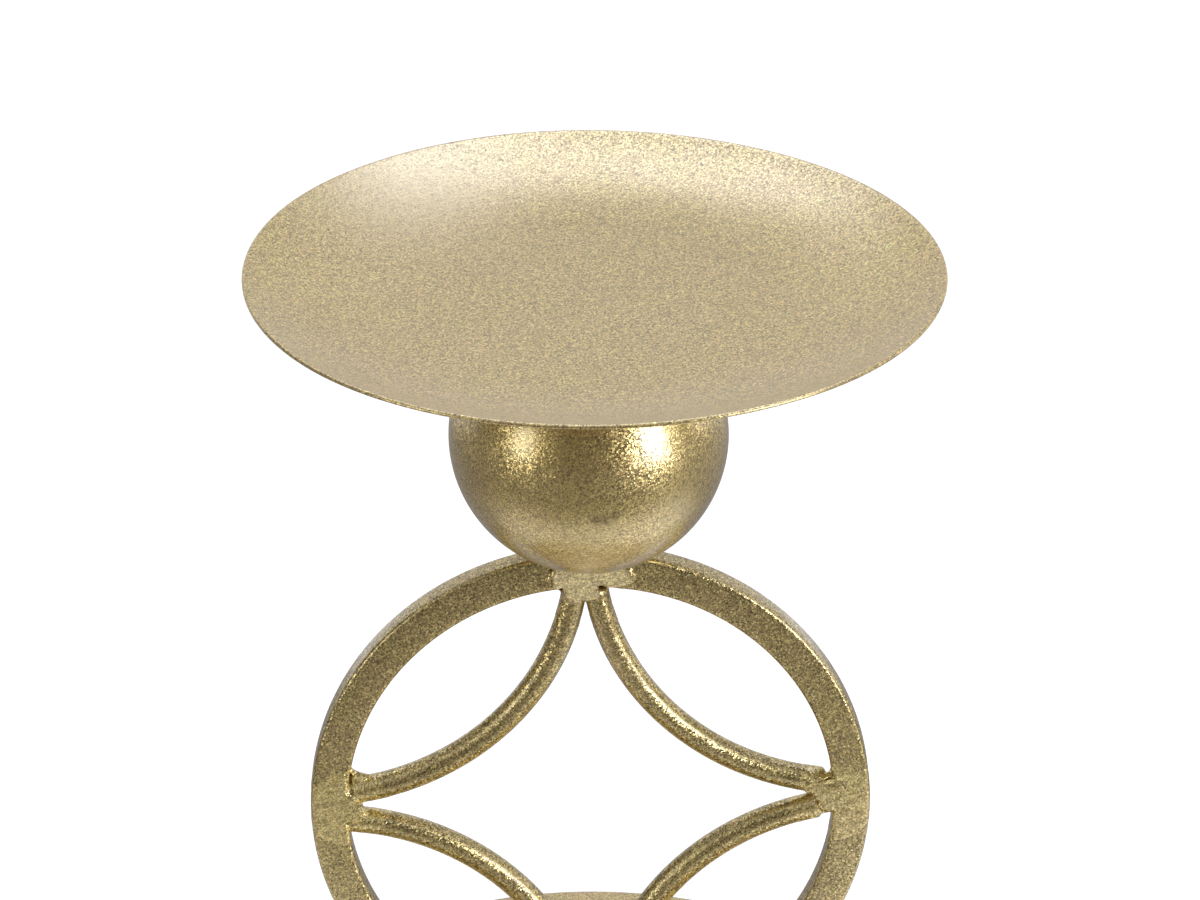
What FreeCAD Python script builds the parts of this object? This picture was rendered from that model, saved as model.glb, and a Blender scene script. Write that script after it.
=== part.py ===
"""Ring candle holder: a dished pan on a hollow ball, on an upright hoop with a four-arc star, on a round base.

Millimetres, +Z up. The origin is the centre of the felt's underside, where the holder rests.
The hoop lies in the XZ plane, and -Y is the front. Every piece is steel, welded to the next by hand,
so the hoop and the ball stand a little to the left of the axis of the pan and the base.
"""
import FreeCAD
import Part

import math
import os

# Base plate, and the felt disc glued under it
FELT_INSET = 4.0
FELT_THICKNESS = 1.2
BASE_RADIUS = 55.0
BASE_THICKNESS = 4.0
BASE_EDGE_RADIUS = 1.4

# Hoop: a bar with rounded edges, bent into a circle, its ends apart under the ball
HOOP_OUTER_RADIUS = 48.9
HOOP_BAR_WIDTH = 6.4
HOOP_BAR_DEPTH = 5.1
HOOP_EDGE_RADIUS = 0.8
HOOP_END_GAP = 14.0
HOOP_FOOT_FLAT = 0.5
HOOP_SIDE_SHIFT = -0.6

# Star: four round rods, bent on the hoop's own former
ROD_DIAMETER = 4.6

# How far right and how far up each rod sits from its nominal place, as it was tacked in by hand
UPPER_LEFT_SHIFT = (-0.15, -0.6)
UPPER_RIGHT_SHIFT = (-1.95, 0.6)
LOWER_LEFT_SHIFT = (2.1, -0.9)
LOWER_RIGHT_SHIFT = (0.6, 1.5)

# Weld webs at the four points of the star, ground down near the hoop's faces.
# A web's crotch is its hollow between the two rods, and its toes are those against the bar,
# left before right or upper before lower.
WEB_RELIEF = 0.15
CROWN_CROTCH_RADIUS = 0.1
CROWN_TOE_RADII = (0.5, 0.5)
LEFT_CROTCH_RADIUS = 0.75
LEFT_TOE_RADII = (1.6, 0.5)
RIGHT_CROTCH_RADIUS = 0.4
RIGHT_TOE_RADII = (0.3, 0.3)
FOOT_CROTCH_RADIUS = 0.5
FOOT_TOE_RADII = (1.0, 1.0)

# Ball: two pressed half shells
BALL_RADIUS = 24.1
BALL_WALL = 1.2
BALL_SEAT_DEPTH = 2.0
BALL_TOP_FLAT = 0.4
BALL_SIDE_SHIFT = -1.0

# Pan: one spun sheet with a flat floor and a curved wall
PAN_RADIUS = 60.0
PAN_HEIGHT = 7.0
PAN_SHEET = 1.0
PAN_FLOOR_RADIUS = 32.0

# Weld bead between the ball and the pan
PAN_BEAD_REACH = 12.5
PAN_BEAD_LEG = 9.5
PAN_BEAD_HOLLOW = 0.35

# Weld mound round the hoop's foot
FOOT_BEAD_LENGTH = 13.0
FOOT_BEAD_RADIUS = 6.0
FOOT_BEAD_RISE = 3.0

# Tools that cut run this far past what they cut
OVERRUN = 4.0

BASE_BOTTOM = FELT_THICKNESS
BASE_TOP = BASE_BOTTOM + BASE_THICKNESS
HOOP_INNER_RADIUS = HOOP_OUTER_RADIUS - HOOP_BAR_WIDTH
HOOP_MID_RADIUS = (HOOP_OUTER_RADIUS + HOOP_INNER_RADIUS) / 2
HOOP_CENTRE = BASE_TOP + HOOP_OUTER_RADIUS - HOOP_FOOT_FLAT
ROD_RADIUS = ROD_DIAMETER / 2
ROD_BEND_RADIUS = HOOP_MID_RADIUS
ROD_BEND_CENTRE = ROD_BEND_RADIUS + ROD_RADIUS
BALL_CENTRE = HOOP_CENTRE + HOOP_OUTER_RADIUS + BALL_RADIUS - BALL_SEAT_DEPTH
PAN_UNDERSIDE = BALL_CENTRE + BALL_RADIUS - BALL_TOP_FLAT

X_AXIS = FreeCAD.Vector(1, 0, 0)
Y_AXIS = FreeCAD.Vector(0, 1, 0)
Z_AXIS = FreeCAD.Vector(0, 0, 1)
HUB = FreeCAD.Vector(HOOP_SIDE_SHIFT, 0, HOOP_CENTRE)

# Rods of the star by their corner: +1 or -1 for right or left, then for upper or lower
ROD_SHIFTS = {
    (-1, 1): UPPER_LEFT_SHIFT,
    (1, 1): UPPER_RIGHT_SHIFT,
    (-1, -1): LOWER_LEFT_SHIFT,
    (1, -1): LOWER_RIGHT_SHIFT,
}

# Weld webs: the way from the hoop's centre to each, and the radii of its crotch and its toes
WEBS = {
    "crown": (Z_AXIS, CROWN_CROTCH_RADIUS, CROWN_TOE_RADII),
    "foot": (-Z_AXIS, FOOT_CROTCH_RADIUS, FOOT_TOE_RADII),
    "left": (-X_AXIS, LEFT_CROTCH_RADIUS, LEFT_TOE_RADII),
    "right": (X_AXIS, RIGHT_CROTCH_RADIUS, RIGHT_TOE_RADII),
}


def point(x, y, z):
    """A point of the model."""
    return FreeCAD.Vector(x, y, z)


def line(start, end):
    """A straight edge."""
    return Part.LineSegment(start, end).toShape()


def arc(start, middle, end):
    """A round edge through three points."""
    return Part.Arc(start, middle, end).toShape()


def arc_about(centre, start, end):
    """The shorter round edge about a centre, from start to end, in the plane of the three."""
    radius = (start - centre).Length
    halfway = (start - centre) + (end - centre)
    middle = centre + halfway.multiply(radius / halfway.Length)
    return arc(start, middle, end)


def face_of(edges):
    """A flat face inside a loop of edges."""
    return Part.Face(Part.Wire(edges))


def disc(radius, bottom, height, side=0):
    """An upright cylinder, its axis to the side of the Z axis by the distance given."""
    return Part.makeCylinder(radius, height, point(side, 0, bottom), Z_AXIS)


def hoop_disc(radius, depth):
    """A cylinder about the hoop's own axis, as deep as said, even to the front and back."""
    return Part.makeCylinder(radius, depth, HUB - Y_AXIS * (depth / 2), Y_AXIS)


def ball_solid(radius):
    """A full ball at the ball's place."""
    return Part.makeSphere(radius, point(BALL_SIDE_SHIFT, 0, BALL_CENTRE))


def make_felt():
    """The felt disc under the base."""
    return disc(BASE_RADIUS - FELT_INSET, 0, FELT_THICKNESS)


def make_base_plate():
    """The round base plate, its top edge rounded over."""
    plate = disc(BASE_RADIUS, BASE_BOTTOM, BASE_THICKNESS)
    top_edges = [edge for edge in plate.Edges
                 if len(edge.Vertexes) == 1 and abs(edge.BoundBox.ZMin - BASE_TOP) < BASE_EDGE_RADIUS]
    return plate.makeFillet(min(BASE_EDGE_RADIUS, BASE_THICKNESS / 2), top_edges)


def bar_section():
    """The hoop bar's section, with rounded edges, on the +X side of the hoop."""
    inner, outer = HOOP_INNER_RADIUS, HOOP_OUTER_RADIUS
    half = HOOP_BAR_DEPTH / 2
    edge = HOOP_EDGE_RADIUS
    bulge = edge * math.sqrt(0.5)

    def at(x, y):
        return HUB + point(x, y, 0)

    def corner(x, y, x_way, y_way):
        """The middle of the rounding whose centre is x, y."""
        return at(x + x_way * bulge, y + y_way * bulge)

    near, far = inner + edge, outer - edge
    low, high = -half + edge, half - edge
    return face_of([
        line(at(near, -half), at(far, -half)),
        arc(at(far, -half), corner(far, low, 1, -1), at(outer, low)),
        line(at(outer, low), at(outer, high)),
        arc(at(outer, high), corner(far, high, 1, 1), at(far, half)),
        line(at(far, half), at(near, half)),
        arc(at(near, half), corner(near, high, -1, 1), at(inner, high)),
        line(at(inner, high), at(inner, low)),
        arc(at(inner, low), corner(near, low, -1, -1), at(near, -half)),
    ])


def bar_arc(start_deg, sweep_deg):
    """The bar swept round the hoop, from an angle above +X, turning towards +Z."""
    section = bar_section()
    section.rotate(HUB, Y_AXIS, -start_deg)
    return section.revolve(HUB, Y_AXIS, -sweep_deg)


def gap_half_angle():
    """Half the angle that is open between the bar's two ends, in degrees."""
    return math.degrees(math.asin(HOOP_END_GAP / 2 / HOOP_MID_RADIUS))


def base_slab():
    """A block whose top is the base plate's top, for cutting what stands on the plate."""
    side = 2 * HOOP_OUTER_RADIUS
    return Part.makeBox(side, side, side, point(-side / 2, -side / 2, BASE_TOP - side))


def make_hoop():
    """The bent bar, ground to the ball at its crown and flat at its foot."""
    opening = gap_half_angle()
    bar = bar_arc(90 + opening, 360 - 2 * opening)
    return bar.cut(ball_solid(BALL_RADIUS)).cut(base_slab())


def whole_hoop():
    """The hoop with no gap, for cutting what fits against it."""
    return bar_arc(0, 360)


def rod_bend_centre(x_way, z_way):
    """The centre of the bend of the rod in the corner that the signs name."""
    shift_x, shift_z = ROD_SHIFTS[x_way, z_way]
    return HUB + point(x_way * ROD_BEND_CENTRE + shift_x, 0, z_way * ROD_BEND_CENTRE + shift_z)


def toward(start, end, distance):
    """The point at a distance from start, on the way to end."""
    return start + (end - start).normalize() * distance


def crossing(first, first_radius, second, second_radius, near):
    """Where two circles of the hoop's plane cross: of the two places, the one nearer to a point."""
    gap = (second - first).Length
    reach = (gap ** 2 + first_radius ** 2 - second_radius ** 2) / (2 * gap)
    rise = math.sqrt(first_radius ** 2 - reach ** 2)
    foot = toward(first, second, reach)
    aside = (second - first).cross(Y_AXIS).normalize() * rise
    return min((foot + aside, foot - aside), key=lambda place: (place - near).Length)


def web_outline(way, crotch_radius, toe_radii):
    """The edges of the weld web on one side of the hoop: between its two rods, out into the bar."""
    tip = HUB + way * HOOP_INNER_RADIUS
    behind = HOOP_INNER_RADIUS + HOOP_EDGE_RADIUS
    star_side = ROD_BEND_RADIUS + ROD_RADIUS
    hoop_side = ROD_BEND_RADIUS - ROD_RADIUS
    bends = [rod_bend_centre(*corner) for corner in ROD_SHIFTS if corner[0] * way.x + corner[1] * way.z > 0]
    crotch = crossing(bends[0], star_side + crotch_radius, bends[1], star_side + crotch_radius, HUB)

    sides = [toward(crotch, bend, crotch_radius) for bend in bends]
    toes = [crossing(HUB, HOOP_INNER_RADIUS - toe_radius, bend, hoop_side - toe_radius, tip)
            for bend, toe_radius in zip(bends, toe_radii)]
    on_rods = [toward(bend, toe, hoop_side) for bend, toe in zip(bends, toes)]
    on_bar = [toward(HUB, toe, HOOP_INNER_RADIUS) for toe in toes]
    in_bar = [toward(HUB, toe, behind) for toe in toes]
    return [
        arc(sides[0], crotch + way * crotch_radius, sides[1]),
        line(sides[1], on_rods[1]),
        arc_about(toes[1], on_rods[1], on_bar[1]),
        line(on_bar[1], in_bar[1]),
        arc(in_bar[1], HUB + way * behind, in_bar[0]),
        line(in_bar[0], on_bar[0]),
        arc_about(toes[0], on_bar[0], on_rods[0]),
        line(on_rods[0], sides[0]),
    ]


def web_blank(joint, thickness):
    """The weld web of a joint of the star, before the bar is cut from it."""
    blank = face_of(web_outline(*WEBS[joint])).extrude(Y_AXIS * thickness)
    blank.translate(Y_AXIS * (-thickness / 2))
    return blank


def make_web(joint):
    """The weld web of a joint, which fills the corner between two rods and the bar."""
    return web_blank(joint, HOOP_BAR_DEPTH - 2 * WEB_RELIEF).cut(whole_hoop())


def make_crown_weld():
    """The weld that closes the bar's ends, holds the two upper rods and seats the ball."""
    opening = gap_half_angle()
    filler = bar_arc(90 - opening, 2 * opening)
    return filler.fuse(make_web("crown")).removeSplitter().cut(ball_solid(BALL_RADIUS))


def make_rod(x_way, z_way):
    """The star's rod in the corner of the hoop that the signs name, its ends cut to the webs."""
    ring = Part.makeTorus(ROD_BEND_RADIUS, ROD_RADIUS, rod_bend_centre(x_way, z_way), Y_AXIS)
    deep = HOOP_BAR_DEPTH + 2 * OVERRUN
    rod = ring.common(hoop_disc(HOOP_INNER_RADIUS, deep))
    for joint in ("right" if x_way > 0 else "left", "crown" if z_way > 0 else "foot"):
        rod = rod.cut(web_blank(joint, deep))
    return rod


def make_ball_half(upper):
    """One pressed half of the hollow ball; the upper one has a flat for the pan."""
    shell = ball_solid(BALL_RADIUS).cut(ball_solid(BALL_RADIUS - BALL_WALL))
    reach = BALL_RADIUS + OVERRUN
    bottom = BALL_CENTRE if upper else BALL_CENTRE - reach
    height = PAN_UNDERSIDE - BALL_CENTRE if upper else reach
    return shell.common(disc(reach, bottom, height, BALL_SIDE_SHIFT))


def pan_curve():
    """Radius and angle of the pan wall's mid line, from its floor to its rim."""
    run = PAN_RADIUS - PAN_SHEET / 2 - PAN_FLOOR_RADIUS
    rise = PAN_HEIGHT - PAN_SHEET
    return (run ** 2 + rise ** 2) / (2 * rise), 2 * math.atan(rise / run)


def make_pan():
    """The spun pan: a flat floor, a curved wall and a rounded edge."""
    bend, angle = pan_curve()
    centre_z = PAN_UNDERSIDE + PAN_SHEET / 2 + bend

    def on_wall(radius, share):
        turned = angle * share
        return point(PAN_FLOOR_RADIUS + radius * math.sin(turned), 0, centre_z - radius * math.cos(turned))

    inner, outer = bend - PAN_SHEET / 2, bend + PAN_SHEET / 2
    tip = on_wall(bend, 1) + point(math.cos(angle), 0, math.sin(angle)).multiply(PAN_SHEET / 2)
    floor = PAN_UNDERSIDE + PAN_SHEET
    section = face_of([
        line(point(0, 0, PAN_UNDERSIDE), on_wall(outer, 0)),
        arc(on_wall(outer, 0), on_wall(outer, 0.5), on_wall(outer, 1)),
        arc(on_wall(outer, 1), tip, on_wall(inner, 1)),
        arc(on_wall(inner, 1), on_wall(inner, 0.5), on_wall(inner, 0)),
        line(on_wall(inner, 0), point(0, 0, floor)),
        line(point(0, 0, floor), point(0, 0, PAN_UNDERSIDE)),
    ])
    return section.revolve(point(0, 0, 0), Z_AXIS, 360)


def make_pan_weld():
    """The bead that joins the ball's top to the pan's underside."""
    flat_radius = math.sqrt(BALL_RADIUS ** 2 - (BALL_RADIUS - BALL_TOP_FLAT) ** 2)
    axis = point(BALL_SIDE_SHIFT, 0, 0)

    def on_ball(x):
        return axis + point(x, 0, BALL_CENTRE + math.sqrt(BALL_RADIUS ** 2 - x ** 2))

    start = axis + point(flat_radius, 0, PAN_UNDERSIDE)
    reach = axis + point(PAN_BEAD_REACH, 0, PAN_UNDERSIDE)
    toe = on_ball(PAN_BEAD_LEG)
    chord = toe - reach
    inward = point(chord.z, 0, -chord.x).normalize()
    hollow = (reach + toe).multiply(0.5) + inward.multiply(PAN_BEAD_HOLLOW)
    section = face_of([
        line(start, reach),
        arc(reach, hollow, toe),
        arc(toe, on_ball((flat_radius + PAN_BEAD_LEG) / 2), start),
    ])
    return section.revolve(axis, Z_AXIS, 360)


def make_base_weld():
    """The weld mound round the hoop's foot, on the base plate."""
    axis_z = BASE_TOP + FOOT_BEAD_RISE - FOOT_BEAD_RADIUS
    ends = [point(HOOP_SIDE_SHIFT + way * FOOT_BEAD_LENGTH / 2, 0, axis_z) for way in (-1, 1)]
    mound = Part.makeCylinder(FOOT_BEAD_RADIUS, FOOT_BEAD_LENGTH, ends[0], X_AXIS)
    for end in ends:
        mound = mound.fuse(Part.makeSphere(FOOT_BEAD_RADIUS, end))
    mound = mound.removeSplitter()
    return mound.cut(base_slab()).cut(whole_hoop())


def main():
    """Builds every piece and writes one STEP file for each."""
    pieces = {
        "base_felt": make_felt(),
        "base_plate": make_base_plate(),
        "base_weld": make_base_weld(),
        "hoop": make_hoop(),
        "crown_weld": make_crown_weld(),
        "left_weld": make_web("left"),
        "right_weld": make_web("right"),
        "foot_weld": make_web("foot"),
        "star_rod_upper_left": make_rod(-1, 1),
        "star_rod_upper_right": make_rod(1, 1),
        "star_rod_lower_left": make_rod(-1, -1),
        "star_rod_lower_right": make_rod(1, -1),
        "ball_lower_half": make_ball_half(False),
        "ball_upper_half": make_ball_half(True),
        "pan_weld": make_pan_weld(),
        "drip_pan": make_pan(),
    }
    os.makedirs("parts", exist_ok=True)
    for name, shape in pieces.items():
        print(f"{name}: {len(shape.Solids)} solid, {shape.Volume:.1f} mm3, valid {shape.isValid()}")
        shape.exportStep(f"parts/{name}.step")


main()
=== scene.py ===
"""Dresses the ring candle holder: a pan on a ball, on a hoop with a star of bent rods, on a round base.

Metres, +Z up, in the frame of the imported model. The hoop lies in the XZ plane and -Y is the front.
"""
import logging
import math
from dataclasses import dataclass, field
from enum import Enum
from typing import Callable, Sequence

import bmesh
import bpy
from mathutils import Matrix, Vector, noise


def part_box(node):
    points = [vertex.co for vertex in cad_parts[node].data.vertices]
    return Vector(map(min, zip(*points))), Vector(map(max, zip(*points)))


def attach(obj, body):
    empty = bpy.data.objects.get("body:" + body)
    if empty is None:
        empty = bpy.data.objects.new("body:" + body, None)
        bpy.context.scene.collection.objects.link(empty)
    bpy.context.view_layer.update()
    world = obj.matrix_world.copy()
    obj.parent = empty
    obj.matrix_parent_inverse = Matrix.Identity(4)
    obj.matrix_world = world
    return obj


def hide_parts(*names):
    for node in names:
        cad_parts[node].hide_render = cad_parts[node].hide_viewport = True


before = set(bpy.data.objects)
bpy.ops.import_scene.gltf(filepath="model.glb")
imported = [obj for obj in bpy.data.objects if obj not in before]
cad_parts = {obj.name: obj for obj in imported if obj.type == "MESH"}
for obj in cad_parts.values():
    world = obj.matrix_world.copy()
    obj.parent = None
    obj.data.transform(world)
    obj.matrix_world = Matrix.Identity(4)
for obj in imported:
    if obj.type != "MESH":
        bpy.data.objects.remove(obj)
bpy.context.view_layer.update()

MM = 0.001
MERGE = 0.002 * MM
BODY = "root"
WHITE = (1.0, 1.0, 1.0)
log = logging.getLogger("candle_holder")

Piece = bpy.types.Object
Socket = bpy.types.NodeSocket
Colour = tuple[float, float, float]
Outline = tuple[tuple[float, float], ...]


class Slot(Enum):
    """The record's slots for the finishes of the scene's own pieces."""

    METAL = "champagne_metal"
    WELD = "weld_metal"


class Corner(Enum):
    """The corners of the hoop that a rod can sit in: which way right and which way up."""

    UPPER_LEFT = (-1, 1)
    UPPER_RIGHT = (1, 1)
    LOWER_LEFT = (-1, -1)
    LOWER_RIGHT = (1, -1)

    @property
    def node(self) -> str:
        """The name of the corner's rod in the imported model."""
        return f"star_rod_{self.name.lower()}"


class Joint(Enum):
    """The points of the star: the way from the hoop's middle to each."""

    CROWN = (0, 1)
    FOOT = (0, -1)
    LEFT = (-1, 0)
    RIGHT = (1, 0)

    @property
    def node(self) -> str:
        """The name of the joint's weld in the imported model."""
        return f"{self.name.lower()}_weld"


class Part(Enum):
    """What can be picked of a mesh: the mode's name, and where the mesh keeps it."""

    EDGE = "edges"
    FACE = "faces"


# Modelling helpers


def let_go() -> None:
    """Leaves edit mode, with nothing selected."""
    if bpy.context.mode != "OBJECT":
        bpy.ops.object.mode_set(mode="OBJECT")
    bpy.ops.object.select_all(action="DESELECT")


def take(piece: Piece) -> None:
    """Makes a piece the only selected one.

    Args:
        piece: The piece to work on.
    """
    let_go()
    piece.select_set(True)
    bpy.context.view_layer.objects.active = piece


def bake(piece: Piece) -> None:
    """Bakes a piece's place, turn and scale into its mesh."""
    take(piece)
    bpy.ops.object.transform_apply(location=True, rotation=True, scale=True)


def select_all() -> None:
    """Selects all of the piece that is open in edit mode."""
    bpy.ops.mesh.select_all(action="SELECT")


def edit(piece: Piece) -> None:
    """Opens a piece in edit mode, with all of it selected.

    Args:
        piece: The piece to open.
    """
    take(piece)
    bpy.ops.object.mode_set(mode="EDIT")
    select_all()


def face_out() -> None:
    """Turns all faces of the piece that is open in edit mode outwards."""
    select_all()
    bpy.ops.mesh.normals_make_consistent(inside=False)


def cut_level(height: float, way: int) -> None:
    """Cuts the selected mesh level, and takes off what is above (way 1) or below (way -1) the cut."""
    bpy.ops.mesh.bisect(plane_co=(0, 0, height), plane_no=(0, 0, way), use_fill=True, clear_outer=True)


def active() -> Piece:
    """The piece that the last operator made or changed."""
    return bpy.context.view_layer.objects.active


def disc(points: int, radius: float, place: Sequence[float] = (0, 0, 0)) -> Piece:
    """Adds a flat disc of one face.

    Args:
        points: How many points its edge has.
        radius: Its radius.
        place: Its middle.

    Returns:
        The disc.
    """
    let_go()
    bpy.ops.mesh.primitive_circle_add(vertices=points, radius=radius, fill_type="NGON", location=place)
    return active()


def flat_face(places: Sequence[Vector]) -> Piece:
    """Adds one flat face.

    Args:
        places: The points of its outline.

    Returns:
        The face.
    """
    piece = disc(len(places), MM)
    for point, place in zip(piece.data.vertices, places):
        point.co = place
    return piece


def pick(piece: Piece, kind: Part, wanted: Callable[..., bool]) -> None:
    """Selects the edges or the faces that a rule picks.

    Args:
        piece: The piece, open in edit mode.
        kind: Which of them.
        wanted: Says of an edge or a face whether it is picked.
    """
    bpy.ops.mesh.select_mode(type=kind.name)
    bpy.ops.mesh.select_all(action="DESELECT")
    work = bmesh.from_edit_mesh(piece.data)
    for part in getattr(work, kind.value):
        if wanted(part):
            part.select_set(True)
    work.select_flush_mode()
    bmesh.update_edit_mesh(piece.data)


def modify(piece: Piece, kind: str, **settings: object) -> None:
    """Adds a modifier to a piece and applies it.

    Args:
        piece: The piece to change.
        kind: The modifier's type.
        settings: The modifier's own settings.
    """
    take(piece)
    modifier = piece.modifiers.new(kind.lower(), kind)
    for name, value in settings.items():
        setattr(modifier, name, value)
    bpy.ops.object.modifier_apply(modifier=modifier.name)


def move_points(piece: Piece, move: Callable[[Vector], Vector]) -> None:
    """Moves every point of a piece by a rule, as a maker's hammer or grinder does.

    Args:
        piece: The piece to change.
        move: Gives a point's new place.
    """
    let_go()
    for point in piece.data.vertices:
        point.co = move(point.co)
    piece.data.update()


def join(pieces: Sequence[Piece]) -> Piece:
    """Joins pieces into the first.

    Args:
        pieces: The pieces to join.

    Returns:
        The joined piece.
    """
    let_go()
    for piece in pieces:
        piece.select_set(True)
    bpy.context.view_layer.objects.active = pieces[0]
    bpy.ops.object.join()
    return active()


def close_up(piece: Piece, name: str, smooth_angle: float = 40.0) -> Piece:
    """Bakes a piece's place into its mesh, merges doubles, turns its faces out and smooths its shading.

    Args:
        piece: The piece to finish.
        name: Its name.
        smooth_angle: Edges sharper than this, in degrees, stay sharp.

    Returns:
        The piece.
    """
    edit(piece)
    bpy.ops.mesh.remove_doubles(threshold=MERGE)
    face_out()
    bake(piece)
    bpy.ops.object.shade_smooth_by_angle(angle=math.radians(smooth_angle))
    piece.name = name
    piece.data.name = name
    return piece


def seat(piece: Piece, slot: Slot, *nodes: str) -> Piece:
    """Puts a finished piece on the model's one body, in place of its nodes.

    Args:
        piece: The piece.
        slot: The record's slot for its finish, which is not used.
        nodes: The nodes that it stands for.

    Returns:
        The piece.
    """
    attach(piece, BODY)
    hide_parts(*nodes)
    log.info("%s: %d faces, for %s", piece.name, len(piece.data.polygons), ", ".join(nodes))
    return piece


def unevenness(place: Vector, size: float, height: float, seed: float = 0.0) -> float:
    """A smooth uneven height, the same each run, from its swells' width and half of its range in metres."""
    return height * noise.noise(place / size + Vector((seed, seed * 0.7, -seed)))


def ease(value: float, low: float, high: float) -> float:
    """A smooth step from 0 at low to 1 at high, which may be below low."""
    share = min(1.0, max(0.0, (value - low) / (high - low)))
    return share * share * (3 - 2 * share)


# Finishes


class Shader:
    """Adds nodes to one material or world and links them, so that a finish reads as a list of steps."""

    def __init__(self, owner: bpy.types.Material | bpy.types.World) -> None:
        """Starts with an empty node tree.

        Args:
            owner: The material or world.
        """
        owner.use_nodes = True
        self.tree = owner.node_tree
        self.tree.nodes.clear()

    def add(self, kind: str, settings: dict[str, object] | None = None, **inputs: object) -> bpy.types.Node:
        """Adds a node.

        Args:
            kind: The node's type, without its ShaderNode prefix.
            settings: The node's own properties.
            inputs: Values or sockets for its inputs, by name with _ for a space, or i0, i1 by number.

        Returns:
            The node.
        """
        node = self.tree.nodes.new("ShaderNode" + kind)
        for name, value in (settings or {}).items():
            setattr(node, name, value)
        for name, value in inputs.items():
            by_number = name[0] == "i" and name[1:].isdigit()
            socket = node.inputs[int(name[1:]) if by_number else name.replace("_", " ")]
            if isinstance(value, Socket):
                self.tree.links.new(value, socket)
            else:
                socket.default_value = value
        return node

    def math(self, operation: str, *values: object) -> Socket:
        """The result of a Math node of an operation, on values or sockets."""
        inputs = {f"i{k}": value for k, value in enumerate(values)}
        return self.add("Math", {"operation": operation}, **inputs).outputs[0]

    def vector(self, operation: str, *values: object) -> Socket:
        """A Vector Math node's vector, or its number where it gives one.

        Args:
            operation: The operation.
            values: Its values or sockets.

        Returns:
            The result socket.
        """
        inputs = {f"i{k}": value for k, value in enumerate(values) if operation != "SCALE" or k == 0}
        node = self.add("VectorMath", {"operation": operation}, **inputs)
        if operation == "SCALE":
            if isinstance(values[1], Socket):
                self.tree.links.new(values[1], node.inputs["Scale"])
            else:
                node.inputs["Scale"].default_value = values[1]
        return node.outputs["Value" if operation in ("DOT_PRODUCT", "LENGTH", "DISTANCE") else "Vector"]

    def step(self, value: object, low: float, high: float, start: float = 0.0, end: float = 1.0) -> Socket:
        """A smooth step of a socket's value, from start at low to end at high."""
        return self.add("MapRange", {"interpolation_type": "SMOOTHSTEP"}, Value=value, From_Min=low,
                        From_Max=high, To_Min=start, To_Max=end).outputs["Result"]

    def mix(self, share: object, first: object, second: object) -> Socket:
        """A mix of two colours.

        Args:
            share: How much of the second.
            first: The first colour.
            second: The second colour.

        Returns:
            The colour socket.
        """
        def full(colour: object) -> object:
            """A colour with its alpha, or the socket as it is."""
            return (*colour, 1.0) if isinstance(colour, tuple) and len(colour) == 3 else colour

        node = self.add("Mix", {"data_type": "RGBA"}, i0=share, i6=full(first), i7=full(second))
        return node.outputs[2]

    def grain(self, place: object, size: float, detail: float = 1.0, roughness: float = 0.5) -> Socket:
        """Noise from 0 to 1 at a coordinate socket, as wide as size in metres, with finer layers on it."""
        return self.add("TexNoise", None, Vector=place, Scale=1 / size, Detail=detail,
                        Roughness=roughness).outputs[0]


@dataclass(frozen=True)
class Patch:
    """A round area of a piece whose finish differs."""

    centre: Vector
    inner: float
    outer: float

    def mask(self, shader: Shader, place: object) -> Socket:
        """1 inside the patch, 0 outside it, at a coordinate socket."""
        away = shader.vector("DISTANCE", place, tuple(self.centre))
        return shader.step(away, self.inner, self.outer, 1.0, 0.0)


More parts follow.
